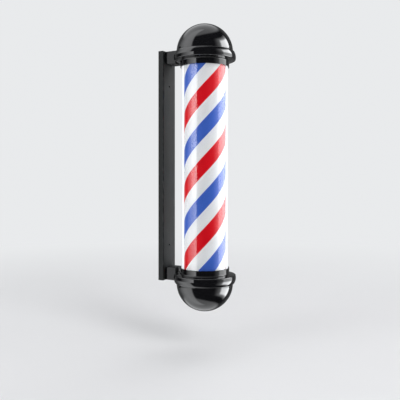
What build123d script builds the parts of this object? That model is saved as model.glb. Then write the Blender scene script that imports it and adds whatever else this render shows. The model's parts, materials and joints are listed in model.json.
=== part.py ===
"""Wall-mounted barber pole light, 700 mm tall, with a motor-driven striped drum.

Frame: millimetres, +Z up. The origin is the middle of the wall channel's back face, +Y points into
the wall and -Y to the front. The pole stands upright in front of the channel, and its middle lies
a little below the channel's middle. Pieces of the pole are drawn about their own axis, with
z = 0 at the middle of the pole, and are then moved to that place. Most pieces of the lower end are
the mirror image of the upper end, so sizes along the pole are heights from its middle.
"""

import os
from math import acos, cos, pi, radians, sin, sqrt, tan

from build123d import *

FROM_FOOT = (Align.CENTER, Align.CENTER, Align.MIN)
SAME_SIZE = 1e-3
DRILL_REACH = 12.0

# Pole: overall sizes and its place in front of the wall
POLE_HEIGHT = 700.0
POLE_DROP = 5.0
DOME_LEDGE = 2.8
DOME_WALL = 2.5
DOME_SINK = 1.0
TUBE_OUTER = 114.0
TUBE_WALL = 3.0
DRUM_TO_TUBE = 3.6
DRUM_WALL = 1.5
FILM_THICKNESS = 0.3

# Collar: band and neck
BAND_TOP_INSET = 4.2
BAND_FOOT_INSET = 1.0
BAND_HEIGHT = 21.0
BAND_WALL_INSET = 6.5
BAND_CROWN_HEIGHT = 6.5
BAND_TOP_ROUND = 2.2
BAND_FOOT_ROUND = 2.2
BAND_REACH = 15.4
UNDERSIDE_SLOPE = 3.0
NECK_HEIGHT = 14.0
NECK_COVE = 2.5
NECK_WALL = 2.25
NECK_CLEARANCE = 0.35
COLLAR_RIM = 2.5
SPIGOT_WALL = 2.5
SPIGOT_RISE = 8.0
SPIGOT_CLEARANCE = 0.3
PLATE_SCREW_HOLE = 5.0

# Tube seals
SEAL_THICKNESS = 2.0
SEAL_LIP_LENGTH = 7.0
SEAL_LIP_THICKNESS = 1.1
SEAL_CLEARANCE = 0.3
TUBE_INSERTION = 8.0

# Mounting plates
PLATE_THICKNESS = 2.0
PLATE_CLEARANCE = 0.5
PLATE_SCREW_ANGLES = (30.0, 150.0, 270.0)

# Centre spindle and its nuts
SPINDLE_OUTER = 10.0
SPINDLE_BORE = 7.0
SPINDLE_PAST_NUT = 4.0
SPINDLE_NUT_ACROSS = 17.0
SPINDLE_NUT_THICKNESS = 5.0
THREAD_CLEARANCE = 0.05
THRUST_WASHER_OUTER = 18.0
THRUST_WASHER_THICKNESS = 1.5
AXIAL_PLAY = 0.1

# Drum hubs and bushes
BUSH_WALL = 2.0
BUSH_LENGTH = 12.0
BUSH_FLANGE_OUTER = 18.0
BUSH_FLANGE_THICKNESS = 1.8
BUSH_RUNNING_FIT = 0.06
HUB_BOSS_WALL = 5.0
HUB_DISC = 3.0
HUB_FLANGE = 2.0
HUB_RIM_DEPTH = 12.0
HUB_RIM_WALL = 2.5
HUB_BOND_GAP = 0.05
HUB_WINDOWS = 6
HUB_WINDOW_RADIUS = 9.0

# Gears
MODULE = 1.0
PINION_TEETH = 16
RING_ADDENDUM = 0.7
PINION_ADDENDUM = 0.95
DEDENDUM = 1.25
GEAR_SLACK = 0.18
PRESSURE_ANGLE = 20.0
RING_GEAR_RIM = 6.6
RING_GEAR_CLEARANCE = 4.6
RING_GEAR_WIDTH = 5.0
PINION_WIDTH = 5.0
PINION_HUB_RADIUS = 5.5
PINION_HUB_LENGTH = 3.5
PINION_HUB_GAP = 0.6
PINION_TO_PLATE = 0.9
GRUB_DIAMETER = 2.5
GRUB_SOCKET = 1.3
GRUB_SOCKET_DEPTH = 1.0
GEAR_SCREW_INSET = 3.4
GEAR_SCREWS = 4

# Geared motor
MOTOR_TO_NUT = 1.2
MOTOR_TO_COLLAR = 3.0
MOTOR_HEIGHT = 18.5
MOTOR_COVER_THICKNESS = 1.5
MOTOR_COVER_WINDOWS = 8
MOTOR_COVER_WINDOW = 4.0
MOTOR_WINDOW_INSET = 7.0
MOTOR_EAR_REACH = 4.5
MOTOR_EAR_RADIUS = 4.5
MOTOR_EAR_THICKNESS = 1.5
MOTOR_BOSS_RADIUS = 6.0
SHAFT_DIAMETER = 6.0
SHAFT_FLAT_DEPTH = 0.5
SHAFT_IN_MOTOR = 8.0
SHAFT_END_GAP = 1.0
SHAFT_FIT = 0.05

# Light core and LEDs
CORE_SIDE = 20.0
CORE_WALL = 1.5
CORE_CAP_PLUG = 6.0
CORE_CAP_FLANGE = 2.5
CORE_TO_HUB = 5.0
LED_BAR_WIDTH = 12.0
LED_BAR_THICKNESS = 1.6
LED_BAR_END_GAP = 6.0
LEDS_PER_BAR = 18
LED_SIDE = 5.0
LED_THICKNESS = 1.4

# Driver and terminal block
DRIVER_LENGTH = 54.0
DRIVER_WIDTH = 26.0
DRIVER_HEIGHT = 18.0
DRIVER_WALL = 2.0
DRIVER_EAR = 7.0
DRIVER_LID_ROUND = 0.7
DRIVER_TO_NUT = 5.2
DRIVER_BOARD = 1.6
TRANSFORMER_SIDE = 15.0
TRANSFORMER_X = -13.0
CAPACITOR = 12.0
CAPACITOR_X = 12.0
COMPONENT_HEIGHT = 10.0
BLOCK_LENGTH = 28.0
BLOCK_WIDTH = 18.0
BLOCK_HEIGHT = 14.0
BLOCK_TO_NUT = 17.0
BLOCK_WAYS = 3
BLOCK_WAY = 3.2
BLOCK_WAY_PITCH = 5.0
BLOCK_ROUND = 1.0
BLOCK_SCREW_INSET = 3.2
BLOCK_SCREW_SINK = 0.5
LEAD_DIAMETER = 4.5
LEAD_BEND = 8.0

# Wall channel
CHANNEL_WIDTH = 54.0
CHANNEL_DEPTH = 15.0
CHANNEL_SHEET = 1.5
CHANNEL_BEND = 2.0
WALL_HOLE_SPACING = 400.0
WALL_HOLE = 5.0
SPACER_OUTER = 10.0

# Arms
ARM_LENGTH = 27.5
ARM_WIDTH = 36.0
ARM_HEIGHT = 32.0
ARM_END_INSET = 1.0
ARM_BELOW_BOLTS = 2.0
ARM_CORNER = 7.0
ARM_EDGE = 1.5
ARM_WALL = 3.0
ARM_FRONT_WALL = 6.0
ARM_COLLAR_GAP = 0.3
ARM_BOLT_SPACING = 20.0
ARM_BOLT = 5.0
ARM_BOLT_GRIP = 8.0
BOLT_CLEARANCE = 0.3
PAD_WIDTH = 34.0
PAD_DEPTH = 9.0
PAD_HEIGHT = 13.0
PAD_ROOT = 1.0
PAD_RISE = 1.0
CABLE_HOLE = 7.0
GROMMET_OUTER = 11.0
GROMMET_GROOVE = 9.0
GROMMET_LIP = 1.5

# Screws: shank diameter, head diameter, head height, length under the head. The drive slot's
# length and width are shares of the head's diameter, and its rounding is a share of its height.
DOME_SCREW = (3.0, 5.6, 2.0, 6.5)
DOME_SCREW_ANGLES = (30.0, 150.0, 270.0)
DOME_SCREW_SEAT = 0.8
PLATE_SCREW = (3.0, 5.6, 2.0, 6.0)
GEAR_SCREW = (2.0, 3.8, 1.2, 6.5)
MOTOR_SCREW = (4.0, 7.0, 2.6, 4.0)
DRIVER_SCREW = (3.0, 5.6, 2.0, 4.0)
BLOCK_SCREW = (2.5, 4.4, 1.5, 13.5)
ARM_BOLT_HEAD = (9.5, 3.5)
SCREW_DRIVE_DEPTH = 0.4
SCREW_DRIVE_LENGTH = 0.6
SCREW_DRIVE_WIDTH = 0.12
SCREW_HEAD_ROUND = 0.45

# Radii about the pole's axis, from the tube outwards and inwards
TUBE_RADIUS = TUBE_OUTER / 2
TUBE_INNER_RADIUS = TUBE_RADIUS - TUBE_WALL
SEAL_LIP_RADIUS = TUBE_INNER_RADIUS - SEAL_CLEARANCE
FLOOR_BORE_RADIUS = SEAL_LIP_RADIUS - SEAL_LIP_THICKNESS
NECK_BORE_RADIUS = TUBE_RADIUS + NECK_CLEARANCE
NECK_RADIUS = NECK_BORE_RADIUS + NECK_WALL
BAND_FOOT_RADIUS = NECK_RADIUS + BAND_REACH
BAND_RADIUS = BAND_FOOT_RADIUS + BAND_FOOT_INSET
BAND_TOP_RADIUS = BAND_RADIUS - BAND_TOP_INSET
BAND_BORE_RADIUS = BAND_RADIUS - BAND_WALL_INSET
DOME_RADIUS = BAND_TOP_RADIUS - DOME_LEDGE
SPIGOT_RADIUS = sqrt((DOME_RADIUS - DOME_WALL) ** 2 - (DOME_SINK + SPIGOT_RISE) ** 2)
SPIGOT_RADIUS -= SPIGOT_CLEARANCE
SPIGOT_BORE_RADIUS = SPIGOT_RADIUS - SPIGOT_WALL
PLATE_SCREW_RADIUS = (FLOOR_BORE_RADIUS + NECK_RADIUS) / 2

FILM_RADIUS = TUBE_INNER_RADIUS - DRUM_TO_TUBE
DRUM_RADIUS = FILM_RADIUS - FILM_THICKNESS
DRUM_INNER_RADIUS = DRUM_RADIUS - DRUM_WALL
SPINDLE_RADIUS = SPINDLE_OUTER / 2
BUSH_BORE_RADIUS = SPINDLE_RADIUS + BUSH_RUNNING_FIT
BUSH_RADIUS = BUSH_BORE_RADIUS + BUSH_WALL
HUB_BOSS_RADIUS = BUSH_RADIUS + HUB_BOSS_WALL
NUT_CORNER_RADIUS = SPINDLE_NUT_ACROSS / sqrt(3)

# The ring gear has as many teeth as fit inside its rim
RING_GEAR_RADIUS = FLOOR_BORE_RADIUS - RING_GEAR_CLEARANCE
RING_TEETH = int(2 * ((RING_GEAR_RADIUS - RING_GEAR_RIM) / MODULE - DEDENDUM))
GEAR_SCREW_RADIUS = RING_GEAR_RADIUS - GEAR_SCREW_INSET
PINION_CENTRE = MODULE * (RING_TEETH - PINION_TEETH) / 2

# The motor fills the room between the spindle's nut and the collar, whichever is nearer to it
ROOM_TO_NUT = PINION_CENTRE - NUT_CORNER_RADIUS - MOTOR_TO_NUT
ROOM_TO_COLLAR = SPIGOT_BORE_RADIUS - PINION_CENTRE - MOTOR_TO_COLLAR
MOTOR_RADIUS = min(ROOM_TO_NUT, ROOM_TO_COLLAR)
MOTOR_EAR_Y = MOTOR_RADIUS + MOTOR_EAR_REACH
DRIVER_Y = -(NUT_CORNER_RADIUS + DRIVER_TO_NUT + DRIVER_WIDTH / 2)
BLOCK_X = -(NUT_CORNER_RADIUS + BLOCK_TO_NUT + BLOCK_WIDTH / 2)

# Heights from the pole's middle, from the dome inwards and then out again to the spindle's end
DOME_CENTRE = POLE_HEIGHT / 2 - DOME_RADIUS
BAND_TOP = DOME_CENTRE + DOME_SINK
BAND_FOOT = BAND_TOP - BAND_HEIGHT
NECK_START = BAND_FOOT - UNDERSIDE_SLOPE
NECK_END = NECK_START - NECK_HEIGHT
TUBE_END = NECK_END + TUBE_INSERTION
SEAT = TUBE_END + SEAL_THICKNESS
DRUM_END = TUBE_END - HUB_FLANGE
GEAR_FACE = TUBE_END + RING_GEAR_WIDTH
PINION_TIP_HEIGHT = TUBE_END + PINION_HUB_GAP
PINION_HUB_FOOT = PINION_TIP_HEIGHT + PINION_WIDTH
FLOOR_TOP = PINION_HUB_FOOT + PINION_HUB_LENGTH + PINION_TO_PLATE
PLATE_TOP = FLOOR_TOP + PLATE_THICKNESS
INNER_NUT_FOOT = FLOOR_TOP - SPINDLE_NUT_THICKNESS
WASHER_FOOT = INNER_NUT_FOOT - THRUST_WASHER_THICKNESS
BUSH_TOP = WASHER_FOOT - AXIAL_PLAY
BOSS_TOP = BUSH_TOP - BUSH_FLANGE_THICKNESS
BUSH_FOOT = BUSH_TOP - BUSH_LENGTH
CORE_END = BUSH_FOOT - CORE_TO_HUB
SPINDLE_END = PLATE_TOP + SPINDLE_NUT_THICKNESS + SPINDLE_PAST_NUT
DOME_SCREW_HEIGHT = BAND_TOP + SPIGOT_RISE / 2

# The pole's place in front of the wall, and the channel's length to suit its arms
POLE_REACH = CHANNEL_DEPTH + ARM_LENGTH + BAND_RADIUS
CHANNEL_FRONT = -CHANNEL_DEPTH
ARM_BOLT_HEIGHT = PLATE_TOP + PAD_RISE + PAD_HEIGHT / 2
ARM_MIDDLE = ARM_BOLT_HEIGHT - ARM_BELOW_BOLTS
CHANNEL_LENGTH = 2 * (ARM_MIDDLE + ARM_HEIGHT / 2 + ARM_END_INSET)


def at_pole(shape):
    """Move a piece drawn about the pole's own axis to its place in front of the wall."""
    return Pos(0, -POLE_REACH, -POLE_DROP) * shape


def to_end(shape, end):
    """Keep a piece drawn for the upper end, or mirror it to the lower end."""
    return shape if end == "upper" else mirror(shape, about=Plane.XY)


def disc(radius, low, high):
    """A plain disc about Z between two heights."""
    return extrude(Pos(0, 0, low) * Circle(radius), high - low)


def tube(outer, inner, low, high):
    """A plain ring or tube about Z between two heights."""
    return extrude(Pos(0, 0, low) * (Circle(outer) - Circle(inner)), high - low)


def block(x, y, low, high, width, depth):
    """A box centred at x, y and standing between two heights."""
    return Pos(x, y, (low + high) / 2) * Box(width, depth, high - low)


def around(radius, angle, height=0.0):
    """The place at a radius and an angle about Z."""
    return Pos(radius * cos(radians(angle)), radius * sin(radians(angle)), height)


def outward(radius, angle, height):
    """A place at a radius whose own Z axis points away from the pole's axis."""
    return Pos(0, 0, height) * Rot(0, 0, angle) * Pos(radius, 0, 0) * Rot(0, 90, 0)


def drill(place, radius, depth=DRILL_REACH):
    """A round cut about a place's own Z, from a depth behind it to the drill's reach before it."""
    return place * Pos(0, 0, -depth) * Cylinder(radius, depth + DRILL_REACH, align=FROM_FOOT)


def screw(shank, head, head_height, length):
    """A pan-head screw with a cross slot: shank down from z = 0 and head above it."""
    body = disc(shank / 2, -length, 0)
    cap = disc(head / 2, 0, head_height)
    cap = fillet(cap.edges().group_by(Axis.Z)[-1], head_height * SCREW_HEAD_ROUND)
    slot = Box(head * SCREW_DRIVE_LENGTH, head * SCREW_DRIVE_WIDTH, 2 * SCREW_DRIVE_DEPTH)
    cross = Pos(0, 0, head_height) * (slot + Rot(0, 0, 90) * slot)
    return body + cap - cross


def circle_edge(body, radius, height):
    """The round edge of a body with a radius about Z, at a height."""
    return [
        edge
        for edge in body.edges().filter_by(GeomType.CIRCLE)
        if abs(edge.radius - radius) < SAME_SIZE and abs(edge.center().Z - height) < SAME_SIZE
    ]


def hexagon_nut(across, thickness, bore_radius, low):
    """A hexagon nut about Z with its foot at a height."""
    outline = RegularPolygon(across / 2, 6, major_radius=False) - Circle(bore_radius)
    return extrude(Pos(0, 0, low) * outline, thickness)


# Cap ends


def dome(end):
    """Thin hemisphere that stands on the collar's band, over its spigot."""
    outer = Pos(0, 0, DOME_CENTRE) * Sphere(DOME_RADIUS)
    inner = Pos(0, 0, DOME_CENTRE) * Sphere(DOME_RADIUS - DOME_WALL)
    below = disc(DOME_RADIUS, DOME_CENTRE - DOME_RADIUS, BAND_TOP)
    shell = outer - inner - below
    for angle in DOME_SCREW_ANGLES:
        place = outward(DOME_RADIUS, angle, DOME_SCREW_HEIGHT)
        shell -= drill(place, DOME_SCREW[0] / 2 + BOLT_CLEARANCE)
        shell -= drill(place, DOME_SCREW[1] / 2 + BOLT_CLEARANCE, DOME_SCREW_SEAT)
    return to_end(shell, end)


def dome_screws(end):
    """Radial screws at the foot of a dome, into the collar's spigot."""
    place_radius = DOME_RADIUS - DOME_SCREW_SEAT
    screws = [
        outward(place_radius, angle, DOME_SCREW_HEIGHT) * screw(*DOME_SCREW)
        for angle in DOME_SCREW_ANGLES
    ]
    return to_end(Compound(screws), end)


def collar_outline():
    """Half section of a collar: neck, sloping underside, convex band, rim and spigot."""
    band_crown = (BAND_RADIUS, BAND_FOOT + BAND_CROWN_HEIGHT)
    walls = Polyline(
        (BAND_TOP_RADIUS, BAND_TOP),
        (SPIGOT_RADIUS, BAND_TOP),
        (SPIGOT_RADIUS, BAND_TOP + SPIGOT_RISE),
        (SPIGOT_BORE_RADIUS, BAND_TOP + SPIGOT_RISE),
        (SPIGOT_BORE_RADIUS, BAND_TOP - COLLAR_RIM),
        (BAND_BORE_RADIUS, BAND_TOP - COLLAR_RIM),
        (BAND_BORE_RADIUS, FLOOR_TOP),
        (FLOOR_BORE_RADIUS, FLOOR_TOP),
        (FLOOR_BORE_RADIUS, SEAT),
        (NECK_BORE_RADIUS, SEAT),
        (NECK_BORE_RADIUS, NECK_END),
        (NECK_RADIUS, NECK_END),
        (NECK_RADIUS, NECK_START),
        (BAND_FOOT_RADIUS, BAND_FOOT),
    )
    band = ThreePointArc(
        (BAND_FOOT_RADIUS, BAND_FOOT), band_crown, (BAND_TOP_RADIUS, BAND_TOP)
    )
    return Plane.XZ * make_face([walls, band])


def collar(end):
    """Ringed collar that grips the tube's end, carries a plate and takes the arm's bolts."""
    body = revolve(collar_outline(), axis=Axis.Z)
    body = fillet(circle_edge(body, NECK_RADIUS, NECK_START), NECK_COVE)
    body = fillet(circle_edge(body, BAND_FOOT_RADIUS, BAND_FOOT), BAND_FOOT_ROUND)
    body = fillet(circle_edge(body, BAND_TOP_RADIUS, BAND_TOP), BAND_TOP_ROUND)
    for angle in PLATE_SCREW_ANGLES:
        body -= around(PLATE_SCREW_RADIUS, angle) * disc(
            PLATE_SCREW[0] / 2 + THREAD_CLEARANCE, FLOOR_TOP - PLATE_SCREW_HOLE, FLOOR_TOP
        )
    for angle in DOME_SCREW_ANGLES:
        place = outward(DOME_RADIUS, angle, DOME_SCREW_HEIGHT)
        body -= drill(place, DOME_SCREW[0] / 2 + THREAD_CLEARANCE)
    pad_face = outward(BAND_BORE_RADIUS, 90, ARM_BOLT_HEIGHT)
    pad = Box(PAD_HEIGHT, PAD_WIDTH, PAD_DEPTH + PAD_ROOT)
    body += pad_face * Pos(0, 0, (PAD_ROOT - PAD_DEPTH) / 2) * pad
    for x in (-ARM_BOLT_SPACING / 2, ARM_BOLT_SPACING / 2):
        body -= drill(Pos(x, 0, 0) * pad_face, ARM_BOLT / 2 + THREAD_CLEARANCE)
    if end == "lower":
        body -= drill(pad_face, CABLE_HOLE / 2)
    return to_end(body, end)


def tube_seal(end):
    """Rubber ring under the tube's end, with a lip inside the tube."""
    ring = tube(TUBE_RADIUS, FLOOR_BORE_RADIUS, TUBE_END, SEAT)
    lip = tube(SEAL_LIP_RADIUS, FLOOR_BORE_RADIUS, TUBE_END - SEAL_LIP_LENGTH, TUBE_END)
    return to_end(ring + lip, end)


def clear_tube():
    """Clear outer tube between the two seals."""
    return tube(TUBE_RADIUS, TUBE_INNER_RADIUS, -TUBE_END, TUBE_END)


def mounting_plate(end):
    """Steel disc on the collar's floor that holds the spindle, and the motor at the lower end."""
    plate = disc(BAND_BORE_RADIUS - PLATE_CLEARANCE, FLOOR_TOP, PLATE_TOP)
    plate -= disc(SPINDLE_RADIUS + BOLT_CLEARANCE, FLOOR_TOP, PLATE_TOP)
    for angle in PLATE_SCREW_ANGLES:
        plate -= around(PLATE_SCREW_RADIUS, angle) * disc(
            PLATE_SCREW[0] / 2 + BOLT_CLEARANCE, FLOOR_TOP, PLATE_TOP
        )
    if end == "lower":
        plate -= Pos(PINION_CENTRE, 0, 0) * disc(
            MOTOR_BOSS_RADIUS + BOLT_CLEARANCE, FLOOR_TOP, PLATE_TOP
        )
        for place in motor_ear_places():
            plate -= place * disc(MOTOR_SCREW[0] / 2 + THREAD_CLEARANCE, FLOOR_TOP, PLATE_TOP)
        for place in block_screw_places():
            plate -= place * disc(BLOCK_SCREW[0] / 2 + THREAD_CLEARANCE, FLOOR_TOP, PLATE_TOP)
    else:
        for place in driver_screw_places():
            plate -= place * disc(DRIVER_SCREW[0] / 2 + THREAD_CLEARANCE, FLOOR_TOP, PLATE_TOP)
    return to_end(plate, end)


def plate_screws(end):
    """Screws that hold a mounting plate on the collar's floor."""
    screws = [
        around(PLATE_SCREW_RADIUS, angle, PLATE_TOP) * screw(*PLATE_SCREW)
        for angle in PLATE_SCREW_ANGLES
    ]
    return to_end(Compound(screws), end)


# Spindle


def centre_spindle():
    """Hollow steel spindle through both plates, which ties the pole's ends together."""
    return tube(SPINDLE_RADIUS, SPINDLE_BORE / 2, -SPINDLE_END, SPINDLE_END)


def spindle_nuts(end):
    """The two nuts that clamp a mounting plate on the spindle."""
    bore = SPINDLE_RADIUS + THREAD_CLEARANCE
    inner = hexagon_nut(SPINDLE_NUT_ACROSS, SPINDLE_NUT_THICKNESS, bore, INNER_NUT_FOOT)
    outer = hexagon_nut(SPINDLE_NUT_ACROSS, SPINDLE_NUT_THICKNESS, bore, PLATE_TOP)
    return to_end(Compound([inner, outer]), end)


def thrust_washer(end):
    """Washer on the spindle that the drum's bush runs against."""
    bore = SPINDLE_RADIUS + THREAD_CLEARANCE
    return to_end(tube(THRUST_WASHER_OUTER / 2, bore, WASHER_FOOT, INNER_NUT_FOOT), end)


# Drum


def drum_shell():
    """Opal cylinder that carries the printed film."""
    return tube(DRUM_RADIUS, DRUM_INNER_RADIUS, -DRUM_END, DRUM_END)


def stripe_film():
    """Printed film wrapped on the drum shell."""
    return tube(FILM_RADIUS, DRUM_RADIUS, -DRUM_END, DRUM_END)


def drum_hub(end):
    """End hub of the drum: flange, rim inside the shell, windowed disc and bush boss."""
    rim_outer = DRUM_INNER_RADIUS - HUB_BOND_GAP
    rim_inner = rim_outer - HUB_RIM_WALL
    bush_bore = BUSH_RADIUS + HUB_BOND_GAP
    hub = tube(DRUM_RADIUS, bush_bore, DRUM_END, TUBE_END)
    hub += tube(rim_outer, bush_bore, DRUM_END - HUB_DISC, DRUM_END)
    hub += tube(rim_outer, rim_inner, DRUM_END - HUB_RIM_DEPTH, DRUM_END)
    hub += tube(HUB_BOSS_RADIUS, bush_bore, BUSH_FOOT, BOSS_TOP)
    window_radius = (HUB_BOSS_RADIUS + MODULE * RING_TEETH / 2 - MODULE * RING_ADDENDUM) / 2
    for index in range(HUB_WINDOWS):
        window = disc(HUB_WINDOW_RADIUS, DRUM_END - HUB_DISC, TUBE_END)
        hub -= around(window_radius, index * 360 / HUB_WINDOWS) * window
    if end == "lower":
        for index in range(GEAR_SCREWS):
            hub -= gear_screw_place(index) * disc(
                GEAR_SCREW[0] / 2 + THREAD_CLEARANCE, DRUM_END - HUB_RIM_DEPTH, TUBE_END
            )
    return to_end(hub, end)


def drum_bush(end):
    """Flanged nylon bush pressed into a hub, running on the spindle."""
    sleeve = tube(BUSH_RADIUS, BUSH_BORE_RADIUS, BUSH_FOOT, BUSH_TOP)
    flange = tube(BUSH_FLANGE_OUTER / 2, BUSH_BORE_RADIUS, BOSS_TOP, BUSH_TOP)
    return to_end(sleeve + flange, end)


# Gears


def involute(angle):
    """The involute function of an angle in radians."""
    return tan(angle) - angle


def gear_face(teeth, tip_radius, root_radius, thinning):
    """Outline of an external gear. A ring gear's spaces have the same shape."""
    pitch_radius = MODULE * teeth / 2
    pressure = radians(PRESSURE_ANGLE)
    base_radius = pitch_radius * cos(pressure)
    half_at_pitch = pi / (2 * teeth) - thinning / (2 * pitch_radius)
    flank = []
    for radius in (root_radius, pitch_radius, tip_radius):
        contact = acos(min(1.0, base_radius / radius))
        half = half_at_pitch + involute(pressure) - involute(contact)
        flank.append((radius, half))
    points = []
    for tooth in range(teeth):
        middle = 2 * pi * tooth / teeth
        points += [(r * cos(middle - half), r * sin(middle - half)) for r, half in flank]
        points += [(r * cos(middle + half), r * sin(middle + half)) for r, half in flank[::-1]]
    return make_face(Polyline(*points, close=True))


def ring_gear():
    """Internal gear screwed under the lower hub. Its teeth point inwards."""
    pitch_radius = MODULE * RING_TEETH / 2
    tip = pitch_radius - MODULE * RING_ADDENDUM
    root = pitch_radius + MODULE * DEDENDUM
    spaces = gear_face(RING_TEETH, root, tip, -GEAR_SLACK)
    outline = Circle(RING_GEAR_RADIUS) - spaces
    gear = extrude(Pos(0, 0, TUBE_END) * outline, RING_GEAR_WIDTH)
    for index in range(GEAR_SCREWS):
        gear -= gear_screw_place(index) * disc(
            GEAR_SCREW[0] / 2 + THREAD_CLEARANCE, TUBE_END, GEAR_FACE
        )
    return to_end(gear, "lower")


def gear_screw_place(index):
    """Place of one ring gear screw, clear of the line to the pinion."""
    return around(GEAR_SCREW_RADIUS, (index + 0.5) * 360 / GEAR_SCREWS)


def ring_gear_screws():
    """Screws that hold the ring gear on the lower hub."""
    screws = [
        Pos(0, 0, GEAR_FACE) * gear_screw_place(index) * screw(*GEAR_SCREW)
        for index in range(GEAR_SCREWS)
    ]
    return to_end(Compound(screws), "lower")


def drive_pinion():
    """Pinion on the motor shaft, in mesh with the ring gear, with a hub for its grub screw."""
    pitch_radius = MODULE * PINION_TEETH / 2
    tip = pitch_radius + MODULE * PINION_ADDENDUM
    root = pitch_radius - MODULE * DEDENDUM
    outline = gear_face(PINION_TEETH, tip, root, GEAR_SLACK)
    gear = extrude(Pos(0, 0, PINION_TIP_HEIGHT) * outline, PINION_WIDTH)
    gear += disc(PINION_HUB_RADIUS, PINION_HUB_FOOT, PINION_HUB_FOOT + PINION_HUB_LENGTH)
    bore_length = PINION_WIDTH + PINION_HUB_LENGTH
    gear -= extrude(Pos(0, 0, PINION_TIP_HEIGHT) * shaft_section(SHAFT_FIT), bore_length)
    gear -= drill(grub_screw_place(), GRUB_DIAMETER / 2 + THREAD_CLEARANCE, 0)
    return to_end(Pos(PINION_CENTRE, 0, 0) * gear, "lower")


def grub_screw_place():
    """Place on the shaft's flat from which the grub screw points outwards."""
    height = PINION_HUB_FOOT + PINION_HUB_LENGTH / 2
    return outward(SHAFT_DIAMETER / 2 - SHAFT_FLAT_DEPTH, 0, height)


def pinion_grub_screw():
    """Grub screw from the pinion's hub onto the shaft's flat."""
    length = PINION_HUB_RADIUS - SHAFT_DIAMETER / 2 + SHAFT_FLAT_DEPTH
    grub = disc(GRUB_DIAMETER / 2, 0, length)
    grub -= extrude(Pos(0, 0, length) * RegularPolygon(GRUB_SOCKET / 2, 6), -GRUB_SOCKET_DEPTH)
    return to_end(Pos(PINION_CENTRE, 0, 0) * grub_screw_place() * grub, "lower")


def shaft_section(growth=0.0):
    """Round shaft section with one flat, grown by a fit."""
    radius = SHAFT_DIAMETER / 2 + growth
    flat = SHAFT_DIAMETER / 2 - SHAFT_FLAT_DEPTH + growth
    cut = Pos(flat + radius, 0) * Rectangle(2 * radius, 2 * radius)
    return Circle(radius) - cut


def motor_shaft():
    """Motor output shaft, with a flat for the pinion's grub screw."""
    low = PINION_TIP_HEIGHT
    high = PLATE_TOP + SHAFT_IN_MOTOR
    shaft = extrude(Pos(0, 0, low) * shaft_section(), high - low)
    return to_end(Pos(PINION_CENTRE, 0, 0) * shaft, "lower")


# Motor and electrical pieces


def motor_ear_places():
    """Places of the motor's two ears."""
    return [Pos(PINION_CENTRE, side * MOTOR_EAR_Y, 0) for side in (-1, 1)]


def motor_case():
    """Round can of the geared motor, with its boss, its two ears and the bore for the shaft."""
    ear_top = PLATE_TOP + MOTOR_EAR_THICKNESS
    can = disc(MOTOR_RADIUS, PLATE_TOP, PLATE_TOP + MOTOR_HEIGHT - MOTOR_COVER_THICKNESS)
    can = fillet(can.edges().group_by(Axis.Z)[0], MOTOR_EAR_THICKNESS / 2)
    can += block(0, 0, PLATE_TOP, ear_top, 2 * MOTOR_EAR_RADIUS, 2 * MOTOR_EAR_Y)
    can += disc(MOTOR_BOSS_RADIUS, FLOOR_TOP, PLATE_TOP)
    for side in (-1, 1):
        ear = Pos(0, side * MOTOR_EAR_Y, 0)
        can += ear * disc(MOTOR_EAR_RADIUS, PLATE_TOP, ear_top)
        can -= ear * disc(MOTOR_SCREW[0] / 2 + BOLT_CLEARANCE, PLATE_TOP, ear_top)
    shaft_bore = PLATE_TOP + SHAFT_IN_MOTOR + SHAFT_END_GAP
    can -= disc(SHAFT_DIAMETER / 2 + SHAFT_FIT, FLOOR_TOP, shaft_bore)
    return to_end(Pos(PINION_CENTRE, 0, 0) * can, "lower")


def motor_cover():
    """Pressed end cover of the motor, with its ring of stator windows."""
    low = PLATE_TOP + MOTOR_HEIGHT - MOTOR_COVER_THICKNESS
    high = PLATE_TOP + MOTOR_HEIGHT
    cover = disc(MOTOR_RADIUS, low, high)
    cover = fillet(cover.edges().group_by(Axis.Z)[-1], MOTOR_COVER_THICKNESS / 2)
    window_circle = MOTOR_RADIUS - MOTOR_WINDOW_INSET
    for index in range(MOTOR_COVER_WINDOWS):
        window = disc(MOTOR_COVER_WINDOW / 2, low, high)
        cover -= around(window_circle, index * 360 / MOTOR_COVER_WINDOWS) * window
    return to_end(Pos(PINION_CENTRE, 0, 0) * cover, "lower")


def motor_screws():
    """Screws through the motor's ears into the lower plate."""
    height = PLATE_TOP + MOTOR_EAR_THICKNESS
    screws = [Pos(0, 0, height) * place * screw(*MOTOR_SCREW) for place in motor_ear_places()]
    return to_end(Compound(screws), "lower")


def driver_screw_places():
    """Places of the LED driver's two screws."""
    x = DRIVER_LENGTH / 2 + DRIVER_EAR / 2
    return [Pos(side * x, DRIVER_Y, 0) for side in (-1, 1)]


def driver_case():
    """LED driver housing: a hollow box with two ears, open towards its lid."""
    top = PLATE_TOP + DRIVER_HEIGHT - DRIVER_WALL
    case = block(0, DRIVER_Y, PLATE_TOP, top, DRIVER_LENGTH, DRIVER_WIDTH)
    case = fillet(case.edges().filter_by(Axis.Z), DRIVER_WALL)
    inner = (DRIVER_LENGTH - 2 * DRIVER_WALL, DRIVER_WIDTH - 2 * DRIVER_WALL)
    case -= block(0, DRIVER_Y, PLATE_TOP + DRIVER_WALL, top, *inner)
    ears_length = DRIVER_LENGTH + 2 * DRIVER_EAR
    ears = block(0, DRIVER_Y, PLATE_TOP, PLATE_TOP + DRIVER_WALL, ears_length, 2 * DRIVER_EAR)
    case += ears
    for place in driver_screw_places():
        case -= place * disc(
            DRIVER_SCREW[0] / 2 + BOLT_CLEARANCE, PLATE_TOP, PLATE_TOP + DRIVER_WALL
        )
    return to_end(case, "upper")


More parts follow.
